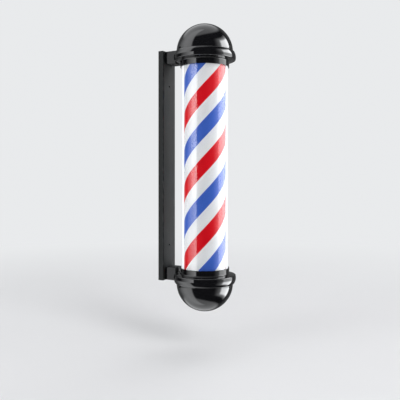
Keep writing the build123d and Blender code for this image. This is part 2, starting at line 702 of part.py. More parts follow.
def driver_board():
    """Circuit board in the LED driver, with its transformer and capacitor soldered on."""
    low = PLATE_TOP + DRIVER_WALL
    foot = low + DRIVER_BOARD
    gap = 2 * DRIVER_WALL + 2 * BOLT_CLEARANCE
    board = block(0, DRIVER_Y, low, foot, DRIVER_LENGTH - gap, DRIVER_WIDTH - gap)
    head = foot + COMPONENT_HEIGHT
    board += block(TRANSFORMER_X, DRIVER_Y, foot, head, TRANSFORMER_SIDE, TRANSFORMER_SIDE)
    board += Pos(CAPACITOR_X, DRIVER_Y, 0) * disc(CAPACITOR / 2, foot, head)
    return board


def driver_lid():
    """Lid of the LED driver."""
    low = PLATE_TOP + DRIVER_HEIGHT - DRIVER_WALL
    lid = block(0, DRIVER_Y, low, low + DRIVER_WALL, DRIVER_LENGTH, DRIVER_WIDTH)
    lid = fillet(lid.edges().filter_by(Axis.Z), DRIVER_WALL)
    return fillet(lid.edges().group_by(Axis.Z)[-1], DRIVER_LID_ROUND)


def driver_screws():
    """Screws through the driver's ears into the upper plate."""
    height = PLATE_TOP + DRIVER_WALL
    places = driver_screw_places()
    return Compound([Pos(0, 0, height) * place * screw(*DRIVER_SCREW) for place in places])


def block_screw_places():
    """Places of the terminal block's two fixing screws."""
    y = BLOCK_LENGTH / 2 - BLOCK_SCREW_INSET
    return [Pos(BLOCK_X, side * y, 0) for side in (-1, 1)]


def terminal_block():
    """Plastic block that joins the supply to the inner leads, with its wire ways."""
    top = PLATE_TOP + BLOCK_HEIGHT
    body = block(BLOCK_X, 0, PLATE_TOP, top, BLOCK_WIDTH, BLOCK_LENGTH)
    body = fillet(body.edges().filter_by(Axis.Z), BLOCK_ROUND)
    for index in range(BLOCK_WAYS):
        y = (index + 0.5 - BLOCK_WAYS / 2) * BLOCK_WAY_PITCH
        way = Pos(BLOCK_X, y, (PLATE_TOP + top) / 2) * Rot(0, 90, 0)
        body -= drill(way, BLOCK_WAY / 2)
    head = BLOCK_SCREW[2] + BLOCK_SCREW_SINK
    for place in block_screw_places():
        body -= place * disc(BLOCK_SCREW[0] / 2 + BOLT_CLEARANCE, PLATE_TOP, top)
        body -= place * disc(BLOCK_SCREW[1] / 2 + BOLT_CLEARANCE, top - head, top)
    return to_end(body, "lower")


def terminal_screws():
    """Fixing screws of the terminal block, sunk in its body."""
    height = PLATE_TOP + BLOCK_HEIGHT - BLOCK_SCREW[2] - BLOCK_SCREW_SINK
    screws = [Pos(0, 0, height) * place * screw(*BLOCK_SCREW) for place in block_screw_places()]
    return to_end(Compound(screws), "lower")


def motor_lead():
    """Flexible lead from the motor's side to the terminal block, round the spindle's end."""
    height = PLATE_TOP + BLOCK_HEIGHT / 2
    side = -(MOTOR_RADIUS + LEAD_BEND + LEAD_DIAMETER / 2)
    path = FilletPolyline(
        (PINION_CENTRE, -MOTOR_RADIUS, height),
        (PINION_CENTRE, side, height),
        (BLOCK_X, side, height),
        (BLOCK_X, -BLOCK_LENGTH / 2, height),
        radius=LEAD_BEND,
    )
    lead = sweep(Plane(path @ 0, z_dir=path % 0) * Circle(LEAD_DIAMETER / 2), path=path)
    return to_end(lead, "lower")


def driver_lead():
    """Flexible lead from the terminal block, up through the hollow spindle, to the driver."""
    turn = SPINDLE_END + LEAD_BEND + LEAD_DIAMETER / 2
    block_top = PLATE_TOP + BLOCK_HEIGHT
    driver_top = PLATE_TOP + DRIVER_HEIGHT
    path = FilletPolyline(
        (BLOCK_X, 0, -block_top),
        (BLOCK_X, 0, -(turn + LEAD_BEND)),
        (0, 0, -(turn + LEAD_BEND)),
        (0, 0, turn + LEAD_BEND),
        (0, DRIVER_Y, turn + LEAD_BEND),
        (0, DRIVER_Y, driver_top),
        radius=LEAD_BEND,
    )
    return sweep(Plane(path @ 0, z_dir=path % 0) * Circle(LEAD_DIAMETER / 2), path=path)


# Light core


def light_core():
    """Square aluminium profile round the spindle that carries the LED bars."""
    inner = CORE_SIDE - 2 * CORE_WALL
    outline = Rectangle(CORE_SIDE, CORE_SIDE) - Rectangle(inner, inner)
    return extrude(Pos(0, 0, -CORE_END) * outline, 2 * CORE_END)


def core_cap(end):
    """Plastic cap in the light core's end that centres it on the spindle."""
    plug = CORE_SIDE - 2 * CORE_WALL - 2 * HUB_BOND_GAP
    foot = CORE_END - CORE_CAP_PLUG
    cap = block(0, 0, foot, CORE_END, plug, plug)
    cap += block(0, 0, CORE_END, CORE_END + CORE_CAP_FLANGE, CORE_SIDE, CORE_SIDE)
    cap -= disc(SPINDLE_RADIUS + THREAD_CLEARANCE, foot, CORE_END + CORE_CAP_FLANGE)
    return to_end(cap, end)


def core_faces():
    """The four turns that carry a piece to each face of the light core."""
    return [Rot(0, 0, index * 90) for index in range(4)]


def led_bars():
    """LED circuit bars, one on each face of the light core."""
    half = CORE_END - LED_BAR_END_GAP
    x = CORE_SIDE / 2 + LED_BAR_THICKNESS / 2
    bar = block(x, 0, -half, half, LED_BAR_THICKNESS, LED_BAR_WIDTH)
    return Compound([turn * bar for turn in core_faces()])


def led_chips():
    """LED packages in a row on each bar."""
    x = CORE_SIDE / 2 + LED_BAR_THICKNESS + LED_THICKNESS / 2
    pitch = 2 * (CORE_END - LED_BAR_END_GAP) / LEDS_PER_BAR
    chips = []
    for turn in core_faces():
        for index in range(LEDS_PER_BAR):
            z = (index + 0.5 - LEDS_PER_BAR / 2) * pitch
            chips.append(turn * Pos(x, 0, z) * Box(LED_THICKNESS, LED_SIDE, LED_SIDE))
    return Compound(chips)


# Wall channel and arms, drawn straight in the part's frame


def arm_bolt_places(end):
    """Places of an arm's two bolts, at the channel's front sheet, with Z pointing to the wall."""
    sign = 1 if end == "upper" else -1
    z = sign * ARM_BOLT_HEIGHT - POLE_DROP
    y = CHANNEL_FRONT + CHANNEL_SHEET
    xs = (-ARM_BOLT_SPACING / 2, ARM_BOLT_SPACING / 2)
    return [Pos(x, y, z) * Rot(-90, 0, 0) for x in xs]


def cable_place():
    """Place of the supply cable's way through the channel's front sheet and the lower arm."""
    return Pos(0, CHANNEL_FRONT, -ARM_BOLT_HEIGHT - POLE_DROP) * Rot(-90, 0, 0)


def wall_channel():
    """Folded steel tray, open to the wall, with wall screw holes, bolt holes and cable holes."""
    body = Pos(0, CHANNEL_FRONT / 2, 0) * Box(CHANNEL_WIDTH, CHANNEL_DEPTH, CHANNEL_LENGTH)
    front = body.edges().group_by(Axis.Y)[0]
    body = fillet(front, CHANNEL_BEND)
    inside = Box(
        CHANNEL_WIDTH - 2 * CHANNEL_SHEET,
        CHANNEL_DEPTH - CHANNEL_SHEET,
        CHANNEL_LENGTH - 2 * CHANNEL_SHEET,
    )
    body -= Pos(0, (CHANNEL_FRONT + CHANNEL_SHEET) / 2, 0) * inside
    for z in (-WALL_HOLE_SPACING / 2, WALL_HOLE_SPACING / 2):
        body -= drill(Pos(0, CHANNEL_FRONT, z) * Rot(90, 0, 0), WALL_HOLE / 2)
    for end in ("upper", "lower"):
        for place in arm_bolt_places(end):
            body -= drill(place, ARM_BOLT / 2 + BOLT_CLEARANCE)
    body -= drill(cable_place(), CABLE_HOLE / 2)
    body -= drill(grommet_place(), GROMMET_GROOVE / 2 + THREAD_CLEARANCE)
    return body


def grommet_place():
    """Place of the cable inlet in the channel's lower end, at the middle of the sheet."""
    return Pos(0, CHANNEL_FRONT / 2, -CHANNEL_LENGTH / 2 + CHANNEL_SHEET / 2)


def supply_grommet():
    """Rubber grommet in the channel's lower end, where the supply cable enters."""
    half = CHANNEL_SHEET / 2
    bore = CABLE_HOLE / 2
    ring = tube(GROMMET_GROOVE / 2, bore, -half, half)
    ring += tube(GROMMET_OUTER / 2, bore, half, half + GROMMET_LIP)
    ring += tube(GROMMET_OUTER / 2, bore, -half - GROMMET_LIP / 2, -half)
    return grommet_place() * ring


def wall_screw_spacers():
    """Tubes between the channel's front sheet and the wall, round the two wall screws."""
    length = CHANNEL_DEPTH - CHANNEL_SHEET
    spacer = tube(SPACER_OUTER / 2, WALL_HOLE / 2, 0, length)
    zs = (-WALL_HOLE_SPACING / 2, WALL_HOLE_SPACING / 2)
    return Compound([Pos(0, 0, z) * Rot(90, 0, 0) * spacer for z in zs])


def arm(end):
    """Short hollow block from the channel to the collar, hollowed round the collar's band."""
    length = ARM_LENGTH + BAND_RADIUS
    low = ARM_MIDDLE - ARM_HEIGHT / 2
    high = ARM_MIDDLE + ARM_HEIGHT / 2
    body = Pos(0, CHANNEL_FRONT - length / 2, ARM_MIDDLE) * Box(ARM_WIDTH, length, ARM_HEIGHT)
    back_foot = body.edges().filter_by(Axis.X).group_by(Axis.Z)[0].sort_by(Axis.Y)[-1]
    body = fillet(back_foot, ARM_CORNER)
    sides = body.faces().sort_by(Axis.X)
    body = fillet(sides[0].edges() + sides[-1].edges(), ARM_EDGE)
    cope_radius = BAND_RADIUS + ARM_COLLAR_GAP
    body -= Pos(0, -POLE_REACH, 0) * disc(cope_radius, low, high)
    pocket_depth = ARM_LENGTH - ARM_COLLAR_GAP - ARM_FRONT_WALL
    pocket_low = low + ARM_CORNER
    pocket_high = high - ARM_WALL
    body -= Pos(0, CHANNEL_FRONT - pocket_depth / 2, (pocket_low + pocket_high) / 2) * Box(
        ARM_WIDTH - 2 * ARM_WALL, pocket_depth, pocket_high - pocket_low
    )
    body = to_end(body, end)
    for place in arm_bolt_places(end):
        body -= drill(place, ARM_BOLT / 2 + BOLT_CLEARANCE, length)
    if end == "lower":
        body -= drill(cable_place(), CABLE_HOLE / 2, length)
    return body


def arm_bolts(end):
    """The two long bolts from inside the channel, through an arm, into the collar's pad."""
    head, head_height = ARM_BOLT_HEAD
    pad_face = POLE_REACH - BAND_BORE_RADIUS
    length = pad_face - CHANNEL_DEPTH + CHANNEL_SHEET + ARM_BOLT_GRIP
    bolt = screw(ARM_BOLT, head, head_height, length)
    return Compound([place * bolt for place in arm_bolt_places(end)])


def both_ends(name, maker):
    """The upper and lower piece of one kind, in the pole's place."""
    return {f"{end}_{name}": at_pole(maker(end)) for end in ("upper", "lower")}


def parts():
    """Every sub-part by its node name."""
    pieces = {
        "wall_channel": wall_channel(),
        "supply_grommet": supply_grommet(),
        "wall_screw_spacers": wall_screw_spacers(),
        "upper_arm": arm("upper"),
        "lower_arm": arm("lower"),
        "upper_arm_bolts": arm_bolts("upper"),
        "lower_arm_bolts": arm_bolts("lower"),
        "clear_tube": at_pole(clear_tube()),
        "centre_spindle": at_pole(centre_spindle()),
        "drum_shell": at_pole(drum_shell()),
        "stripe_film": at_pole(stripe_film()),
        "ring_gear": at_pole(ring_gear()),
        "ring_gear_screws": at_pole(ring_gear_screws()),
        "drive_pinion": at_pole(drive_pinion()),
        "pinion_grub_screw": at_pole(pinion_grub_screw()),
        "motor_shaft": at_pole(motor_shaft()),
        "motor_case": at_pole(motor_case()),
        "motor_cover": at_pole(motor_cover()),
        "motor_screws": at_pole(motor_screws()),
        "driver_case": at_pole(driver_case()),
        "driver_board": at_pole(driver_board()),
        "driver_lid": at_pole(driver_lid()),
        "driver_screws": at_pole(driver_screws()),
        "terminal_block": at_pole(terminal_block()),
        "terminal_screws": at_pole(terminal_screws()),
        "motor_lead": at_pole(motor_lead()),
        "driver_lead": at_pole(driver_lead()),
        "light_core": at_pole(light_core()),
        "led_bars": at_pole(led_bars()),
        "led_chips": at_pole(led_chips()),
    }
    pieces |= both_ends("dome", dome)
    pieces |= both_ends("dome_screws", dome_screws)
    pieces |= both_ends("collar", collar)
    pieces |= both_ends("tube_seal", tube_seal)
    pieces |= both_ends("mounting_plate", mounting_plate)
    pieces |= both_ends("plate_screws", plate_screws)
    pieces |= both_ends("spindle_nuts", spindle_nuts)
    pieces |= both_ends("thrust_washer", thrust_washer)
    pieces |= both_ends("drum_hub", drum_hub)
    pieces |= both_ends("drum_bush", drum_bush)
    pieces |= both_ends("core_cap", core_cap)
    return pieces


os.makedirs("parts", exist_ok=True)
for node, shape in parts().items():
    export_step(shape, f"parts/{node}.step")
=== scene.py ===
import json
from math import atan2, cos, pi, radians, sin, tau

import bmesh
import bpy
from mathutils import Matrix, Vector

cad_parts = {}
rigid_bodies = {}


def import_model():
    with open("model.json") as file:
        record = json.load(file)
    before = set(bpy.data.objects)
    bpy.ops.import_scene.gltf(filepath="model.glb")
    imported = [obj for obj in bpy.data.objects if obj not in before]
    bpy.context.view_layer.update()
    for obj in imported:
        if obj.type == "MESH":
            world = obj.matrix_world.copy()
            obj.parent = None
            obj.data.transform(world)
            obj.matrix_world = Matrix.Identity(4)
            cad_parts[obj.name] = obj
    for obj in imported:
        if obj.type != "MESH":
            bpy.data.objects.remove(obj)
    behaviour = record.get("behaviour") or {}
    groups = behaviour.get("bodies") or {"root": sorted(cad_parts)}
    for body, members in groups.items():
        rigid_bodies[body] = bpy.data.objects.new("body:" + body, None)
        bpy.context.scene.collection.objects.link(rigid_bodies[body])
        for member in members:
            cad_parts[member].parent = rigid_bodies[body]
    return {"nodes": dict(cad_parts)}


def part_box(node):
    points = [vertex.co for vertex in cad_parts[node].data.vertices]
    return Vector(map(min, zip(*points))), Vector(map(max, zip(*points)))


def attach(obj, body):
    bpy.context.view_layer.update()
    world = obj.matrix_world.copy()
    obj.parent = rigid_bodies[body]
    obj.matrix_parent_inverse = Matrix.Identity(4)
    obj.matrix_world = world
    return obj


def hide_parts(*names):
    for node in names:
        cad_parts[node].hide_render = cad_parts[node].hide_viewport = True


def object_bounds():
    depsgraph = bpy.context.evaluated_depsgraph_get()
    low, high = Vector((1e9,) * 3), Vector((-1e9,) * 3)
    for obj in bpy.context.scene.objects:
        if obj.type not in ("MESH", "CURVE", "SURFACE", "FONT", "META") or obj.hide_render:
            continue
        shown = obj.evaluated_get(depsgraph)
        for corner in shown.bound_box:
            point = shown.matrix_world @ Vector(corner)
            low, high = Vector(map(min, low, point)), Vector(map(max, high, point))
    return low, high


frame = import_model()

bl_info = {
    "name": "Barber Pole Light",
    "version": (1, 0, 0),
    "blender": (4, 5, 0),
    "location": "View3D > Sidebar > Barber Pole",
    "description": "Builds the looks of a wall-mounted barber pole light round its frame",
    "category": "Object",
}

CAD_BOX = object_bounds()


def centre_of(node):
    """The middle of a frame node's box."""
    low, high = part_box(node)
    return (low + high) / 2


FILM_LOW, FILM_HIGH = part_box("stripe_film")
POLE = centre_of("clear_tube")
FILM_RADIUS = (FILM_HIGH.x - FILM_LOW.x) / 2
FILM_HEIGHT = FILM_HIGH.z - FILM_LOW.z
SKY_COLOUR = (0.97, 0.985, 1.0, 1.0)
SKY_LEVEL = 0.84
LIGHT_LEVEL = 0.62
FLOOR_SIZE = 8.0
BACKDROP_HEIGHT = 5.0
BACKDROP_CURVE = 1.2
CAMERA_SHIFT = (-0.012, -0.061)


# Settings


class PoleSizes(bpy.types.PropertyGroup):
    """Sizes of the striped film."""

    lead: bpy.props.FloatProperty(
        name="Stripe lead",
        description="Height in which one stripe goes once round the drum",
        default=0.343,
        unit="LENGTH",
    )
    stripe_share: bpy.props.FloatProperty(
        name="Stripe share",
        description="Share of each quarter turn that the red or blue stripe takes",
        default=0.516,
        min=0.1,
        max=0.9,
        subtype="FACTOR",
    )
    start_angle: bpy.props.FloatProperty(
        name="Stripe start",
        description="Turn of the first red stripe's middle at the drum's middle height",
        default=radians(202.3),
        subtype="ANGLE",
    )
    turns_divisions: bpy.props.IntProperty(
        name="Divisions of a band",
        description="Number of faces across each band of colour",
        default=12,
        min=2,
    )
    height_divisions: bpy.props.IntProperty(
        name="Divisions of the height",
        description="Number of faces up the film",
        default=120,
        min=8,
    )


class PoleColours(bpy.types.PropertyGroup):
    """Colours of the pole."""

    red: bpy.props.FloatVectorProperty(
        name="Red ink",
        description="Colour of the red stripes",
        default=(0.6, 0.004, 0.011),
        subtype="COLOR",
    )
    blue: bpy.props.FloatVectorProperty(
        name="Blue ink",
        description="Colour of the blue stripes",
        default=(0.046, 0.115, 0.47),
        subtype="COLOR",
    )
    white: bpy.props.FloatVectorProperty(
        name="White film",
        description="Colour of the film between the stripes",
        default=(0.7, 0.71, 0.72),
        subtype="COLOR",
    )
    black: bpy.props.FloatVectorProperty(
        name="Black gloss",
        description="Colour of the caps and arms",
        default=(0.006, 0.006, 0.007),
        subtype="COLOR",
    )
    satin: bpy.props.FloatVectorProperty(
        name="Black satin",
        description="Colour of the wall channel's coating",
        default=(0.011, 0.012, 0.012),
        subtype="COLOR",
    )
    glow: bpy.props.FloatProperty(
        name="Glow", description="Strength of the light that comes through the film", default=0.5, min=0.0
    )


class StageSettings(bpy.types.PropertyGroup):
    """Camera, floor and lamps."""

    distance: bpy.props.FloatProperty(
        name="Camera distance",
        description="From the camera to the pole's middle line",
        default=1.43,
        unit="LENGTH",
    )
    height: bpy.props.FloatProperty(
        name="Camera height",
        description="Height of the camera above the frame's origin",
        default=-0.025,
        unit="LENGTH",
    )
    turn: bpy.props.FloatProperty(
        name="Camera turn",
        description="Turn of the camera round the pole from the front",
        default=radians(-60),
        subtype="ANGLE",
    )
    lens: bpy.props.FloatProperty(
        name="Lens", description="Focal length in millimetres", default=52.65
    )
    floor_drop: bpy.props.FloatProperty(
        name="Floor drop",
        description="Gap between the lower dome and the floor",
        default=0.09,
        unit="LENGTH",
    )
    floor_colour: bpy.props.FloatVectorProperty(
        name="Floor",
        description="Colour of the floor and backdrop",
        default=(0.78, 0.78, 0.79),
        subtype="COLOR",
    )


# Shader building


class Term:
    """A shader socket that can stand in a sum: each operator adds a Math node."""

    def __init__(self, finish, socket):
        self.finish = finish
        self.socket = socket

    def math(self, operation, *values):
        return self.finish.add("ShaderNodeMath", {"operation": operation}, dict(enumerate(values)))

    def __add__(self, other):
        return self.math("ADD", self, other)

    def __sub__(self, other):
        return self.math("SUBTRACT", self, other)

    def __rsub__(self, other):
        return self.math("SUBTRACT", other, self)

    def __mul__(self, other):
        return self.math("MULTIPLY", self, other)

    def __truediv__(self, other):
        return self.math("DIVIDE", self, other)

    def __abs__(self):
        return self.math("ABSOLUTE", self)

    __radd__ = __add__
    __rmul__ = __mul__

    def power(self, exponent):
        return self.math("POWER", self, exponent)

    def at_least(self, low):
        return self.math("MAXIMUM", self, low)

    def degrees_from(self, other):
        """The turn in degrees of the direction with this part across and the other ahead."""
        return self.math("ARCTAN2", self, other) * (180 / pi)

    def ramp(self, low, high):
        """0 below low, 1 above high and a smooth step between."""
        return self.finish.add(
            "ShaderNodeMapRange",
            {"interpolation_type": "SMOOTHSTEP"},
            {"Value": self, "From Min": low, "From Max": high},
        )


class Finish:
    """One material under construction."""

    def __init__(self, name, world=None):
        self.holder = world or bpy.data.materials.new(name)
        self.holder.use_nodes = True
        self.tree = self.holder.node_tree
        self.tree.nodes.clear()
        self.place = self.add("ShaderNodeTexCoord", output="Generated" if world else "Object")

    def add(self, kind, settings=None, inputs=None, output=0):
        """Adds a node: its settings first, then its sockets' values or links."""
        node = self.tree.nodes.new(kind)
        for name, value in (settings or {}).items():
            setattr(node, name, value)
        for name, value in (inputs or {}).items():
            if isinstance(value, Term):
                self.tree.links.new(value.socket, node.inputs[name])
            else:
                node.inputs[name].default_value = value
        return Term(self, node.outputs[output]) if node.outputs else None

    def moved(self, scale=(1, 1, 1), shift=(0, 0, 0)):
        """The object's own coordinates, shifted and then stretched."""
        shifted = self.add(
            "ShaderNodeVectorMath", {"operation": "ADD"}, {0: self.place, 1: shift}
        )
        return self.add("ShaderNodeVectorMath", {"operation": "MULTIPLY"}, {0: shifted, 1: scale})

    def axes(self, shift=(0, 0, 0)):
        """The x, y and z of the object's own coordinates, shifted."""
        place = self.moved(shift=shift)
        return [self.add("ShaderNodeSeparateXYZ", None, {0: place}, name) for name in "XYZ"]

    def noise(self, scale, detail=3.0, roughness=0.55, vector=None):
        return self.add(
            "ShaderNodeTexNoise",
            None,
            {"Vector": vector or self.place, "Scale": scale, "Detail": detail, "Roughness": roughness},
        )

    def cells(self, scale):
        return self.add(
            "ShaderNodeTexVoronoi", None, {"Vector": self.place, "Scale": scale}, "Distance"
        )

    def mix(self, factor, first, second):
        """A colour between two colours."""
        return self.add(
            "ShaderNodeMix", {"data_type": "RGBA"}, {0: factor, 6: first, 7: second}, 2
        )

    def facing_up(self):
        """1 on faces that look up, 0 on walls and undersides."""
        normal = self.add("ShaderNodeNewGeometry", output="Normal")
        return self.add("ShaderNodeSeparateXYZ", None, {0: normal}, "Z").ramp(0.35, 1.0)

    def bump(self, height, distance, strength=1.0):
        return self.add(
            "ShaderNodeBump", None, {"Height": height, "Strength": strength, "Distance": distance}
        )

    def principled(self, colour, roughness, normal=None, **settings):
        """A Principled shader."""
        inputs = {"Base Color": colour, "Roughness": roughness}
        inputs |= {name.replace("_", " "): value for name, value in settings.items()}
        if normal:
            inputs["Normal"] = normal
        return self.add("ShaderNodeBsdfPrincipled", None, inputs)

    def finished(self, shader):
        """Ends the tree in a shader, and gives back the material or world."""
        kind = "World" if isinstance(self.holder, bpy.types.World) else "Material"
        self.add(f"ShaderNodeOutput{kind}", None, {"Surface": shader})
        return self.holder

    def surface(self, *values, **settings):
        """Ends the material in one Principled shader, and gives it back."""
        return self.finished(self.principled(*values, **settings))


def solid(colour, share=1.0):
    """A colour with its alpha, darkened or lightened by a share."""
    return (*(min(1.0, channel * share) for channel in colour), 1.0)


def moulded_gloss(name, colour):
    """Polished black moulding: a deep gloss with faint wiping marks, and dust on what faces up."""
    finish = Finish(name)
    smudge = finish.noise(22, 4).ramp(0.42, 0.72)
    wipe = finish.noise(9, 2, 0.5, finish.moved((1, 1, 14))).ramp(0.45, 0.75)
    dust = finish.noise(900, 2, 0.7).ramp(0.52, 0.8) * finish.facing_up()
    flow = finish.noise(30, 2, 0.4)
    base = finish.mix(dust * 0.05, solid(colour), solid((0.3, 0.29, 0.28)))
    roughness = 0.045 + smudge * 0.05 + wipe * 0.035 + dust * 0.25
    return finish.surface(
        base, roughness, finish.bump(flow, 0.0001), IOR=1.5, Coat_Weight=0.35, Coat_Roughness=0.03
    )


def baked_enamel(name, colour, arm):
    """Glossy stoved enamel with orange peel, rubbed a little along the long edges."""
    finish = Finish(name)
    low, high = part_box(arm)
    x, _, z = finish.axes(shift=tuple(-centre_of(arm)))
    side = (abs(x) / ((high.x - low.x) / 2)).ramp(0.94, 1.0)
    edge = (abs(z) / ((high.z - low.z) / 2)).ramp(0.93, 1.0)
    rubbed = side * edge * finish.noise(160, 3).ramp(0.4, 0.6)
    peel = finish.noise(420, 2, 0.5)
    smudge = finish.noise(35, 4).ramp(0.4, 0.75)
    base = finish.mix(rubbed * 0.5, solid(colour), solid((0.05, 0.05, 0.052)))
    roughness = 0.09 + smudge * 0.07 + rubbed * 0.18
    return finish.surface(
        base, roughness, finish.bump(peel, 0.00012), IOR=1.5, Specular_IOR_Level=0.3
    )


def powder_coat(name, colour):
    """Satin powder coat on folded steel: fine texture, scuffs along the fold lines, rubbed corners."""
    finish = Finish(name)
    low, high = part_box("wall_channel")
    x, y, z = finish.axes()
    grain = finish.noise(1500, 2, 0.6)
    pebble = finish.cells(950)
    cloud = finish.noise(14, 4)
    scuff = finish.noise(60, 3, 0.6, finish.moved((1, 1, 0.12))).ramp(0.62, 0.78)
    corner = (abs(x) / high.x).ramp(0.935, 1.0) * (1 - (y - low.y).ramp(0.0, 0.004))
    tip = (abs(z) / high.z).ramp(0.992, 1.0)
    rubbed = (corner + tip) * finish.noise(120, 4).ramp(0.42, 0.66)
    base = finish.mix(cloud * 0.5, solid(colour), solid(colour, 1.5))
    base = finish.mix(scuff * 0.22, base, solid(colour, 3.2))
    base = finish.mix(rubbed * 0.35, base, solid((0.12, 0.12, 0.125)))
    roughness = 0.4 + cloud * 0.12 + grain * 0.06 - rubbed * 0.1
    height = grain * 0.6 + pebble * 0.4
    return finish.surface(
        base, roughness, finish.bump(height, 0.00018), IOR=1.5, Specular_IOR_Level=0.2
    )


def clear_acrylic(name, glow):
    """Clear cast tube with a breath of wiping haze, whose edges carry a painted rim highlight: a pale
    shader that glows of itself is mixed in where the surface turns from the view.
    """
    finish = Finish(name)
    haze = finish.noise(16, 3, 0.6, finish.moved((1, 1, 0.3))).ramp(0.55, 0.85)
    base = finish.mix(haze, solid((0.985, 0.99, 0.995)), solid((0.97, 0.975, 0.98)))
    clear = finish.principled(base, haze * 0.02, Transmission_Weight=1.0, IOR=1.49)
    # Painted rim highlight: a pale shader that emits light, for the tube's edges.
    painted_rim_glow = finish.principled(
        finish.mix(haze, solid((0.86, 0.87, 0.88)), solid((0.8, 0.81, 0.82))),
        0.15 + haze * 0.1,
        Emission_Color=solid((0.9, 0.93, 0.97)),
        Emission_Strength=glow,
    )
    # Mask of the painted rim highlight: on the tube's front, where the surface turns away from the view.
    edge = finish.add("ShaderNodeLayerWeight", None, {"Blend": 0.5}, "Facing").ramp(0.5, 0.6)
    front = 1 - finish.add("ShaderNodeNewGeometry", output="Backfacing")
    mixed = finish.add("ShaderNodeMixShader", None, {0: edge * front * 0.9, 1: clear, 2: painted_rim_glow})
    return finish.finished(mixed)


def printed_film(name, colour, glow, mottle):
    """Ink on film whose backlight is painted as the film's own glow, with painted shade making it dimmer
    at the drum's ends.
    """
    finish = Finish(name)
    z = finish.axes(shift=(0, 0, -POLE.z))[2]
    along = abs(z) / (FILM_HEIGHT / 2)
    ends = 1 - along.ramp(0.9, 1.0) * 0.25
    cloud = finish.noise(12, 3)
    dots = finish.cells(1300)
    ink = finish.mix(cloud * mottle + dots * mottle * 0.4, solid(colour), solid(colour, 0.8))
    # Painted light: the film's own emission, with painted shade darkening it towards the drum's ends.
    painted_backlight = finish.mix(ends * (1 - cloud * 0.06), solid(colour, 0.4), solid(colour))
    return finish.surface(
        ink,
        0.4 + cloud * 0.1,
        finish.bump(dots, 0.00003),
        Specular_IOR_Level=0.15,
        Emission_Color=painted_backlight,
        Emission_Strength=glow,
    )


def rubber(name):
    """Matt black rubber with a dry bloom."""
    finish = Finish(name)
    bloom = finish.noise(80, 5, 0.65).ramp(0.4, 0.75)
    grain = finish.noise(1200, 2)
    base = finish.mix(bloom * 0.5, solid((0.012, 0.012, 0.012)), solid((0.045, 0.044, 0.042)))
    return finish.surface(base, 0.62 + bloom * 0.2, finish.bump(grain, 0.0001))


def plated_steel(name, colour, tarnish, brushed=(1, 1, 1), rough=0.28):
    """Plated or bare metal with fine machining lines and a patchy film."""
    finish = Finish(name)
    lines = finish.noise(900, 3, 0.6, finish.moved(brushed))
    cloud = finish.noise(70, 4).ramp(0.35, 0.7)
    speck = finish.noise(600, 2).ramp(0.68, 0.8)
    base = finish.mix(cloud * 0.6, solid(colour), solid(tarnish))
    base = finish.mix(speck * 0.4, base, solid(tarnish, 0.6))
    roughness = rough + cloud * 0.12 + lines * 0.1 + speck * 0.2
    return finish.surface(base, roughness, finish.bump(lines, 0.00004), Metallic=1.0)


def moulded_plastic(name, colour, rough=0.4, glow=0.0):
    """Plain moulded plastic with a fine spark-eroded texture and slight yellowing."""
    finish = Finish(name)
    texture = finish.noise(1400, 2, 0.6)
    cloud = finish.noise(26, 4)
    grime = finish.noise(150, 4).ramp(0.6, 0.85)
    base = finish.mix(cloud * 0.6, solid(colour), solid(colour, 0.86))
    base = finish.mix(grime * 0.12, base, solid((0.3, 0.27, 0.22)))
    roughness = rough + texture * 0.08 + grime * 0.12
    return finish.surface(
        base,
        roughness,
        finish.bump(texture, 0.00006),
        # Glow makes the part emit its own colour; on the opal drum shell this is painted light.
        Emission_Color=solid(colour),
        Emission_Strength=glow,
    )


def circuit_board(name, mask, copper):
    """Solder mask over tracks, with tinned pads."""
    finish = Finish(name)
    tracks = finish.add(
        "ShaderNodeTexBrick",
        {"offset": 0.5},
        {"Vector": finish.place, "Scale": 260.0, "Mortar Size": 0.03, "Mortar Smooth": 0.1},
        "Fac",
    )
    pads = 1 - finish.cells(330).ramp(0.1, 0.16)
    cloud = finish.noise(120, 3)
    base = finish.mix(tracks * 0.5, solid(mask), solid(mask, 1.7))
    base = finish.mix(pads, base, solid(copper))
    roughness = 0.3 + cloud * 0.15 - pads * 0.05
    return finish.surface(base, roughness, finish.bump(tracks * 0.3 + pads, 0.0001))


# Pieces


def dress(material, *nodes):
    """Gives frame nodes a material in place of their plain one."""
    for node in nodes:
        for slot in frame["nodes"][node].material_slots:
            slot.material = material


def both(name):
    """A piece's upper and lower node names."""
    return f"upper_{name}", f"lower_{name}"


def fresh(add, **settings):
    """Deselects everything and adds one primitive."""
    if bpy.context.mode != "OBJECT":
        bpy.ops.object.mode_set(mode="OBJECT")
    bpy.ops.object.select_all(action="DESELECT")
    add(**settings)
    return bpy.context.object


def settle(piece, name):
    """Names a finished piece and puts its place into its mesh."""
    bpy.ops.object.mode_set(mode="OBJECT")
    bpy.ops.object.transform_apply(location=True, rotation=True, scale=True)
    piece.name = name
    piece.data.name = name
    return piece


class Maker(bpy.types.Operator):
    """One step of the build."""

    bl_options = {"REGISTER", "UNDO"}

    def execute(self, context):
        self.build(context.scene)
        return {"FINISHED"}


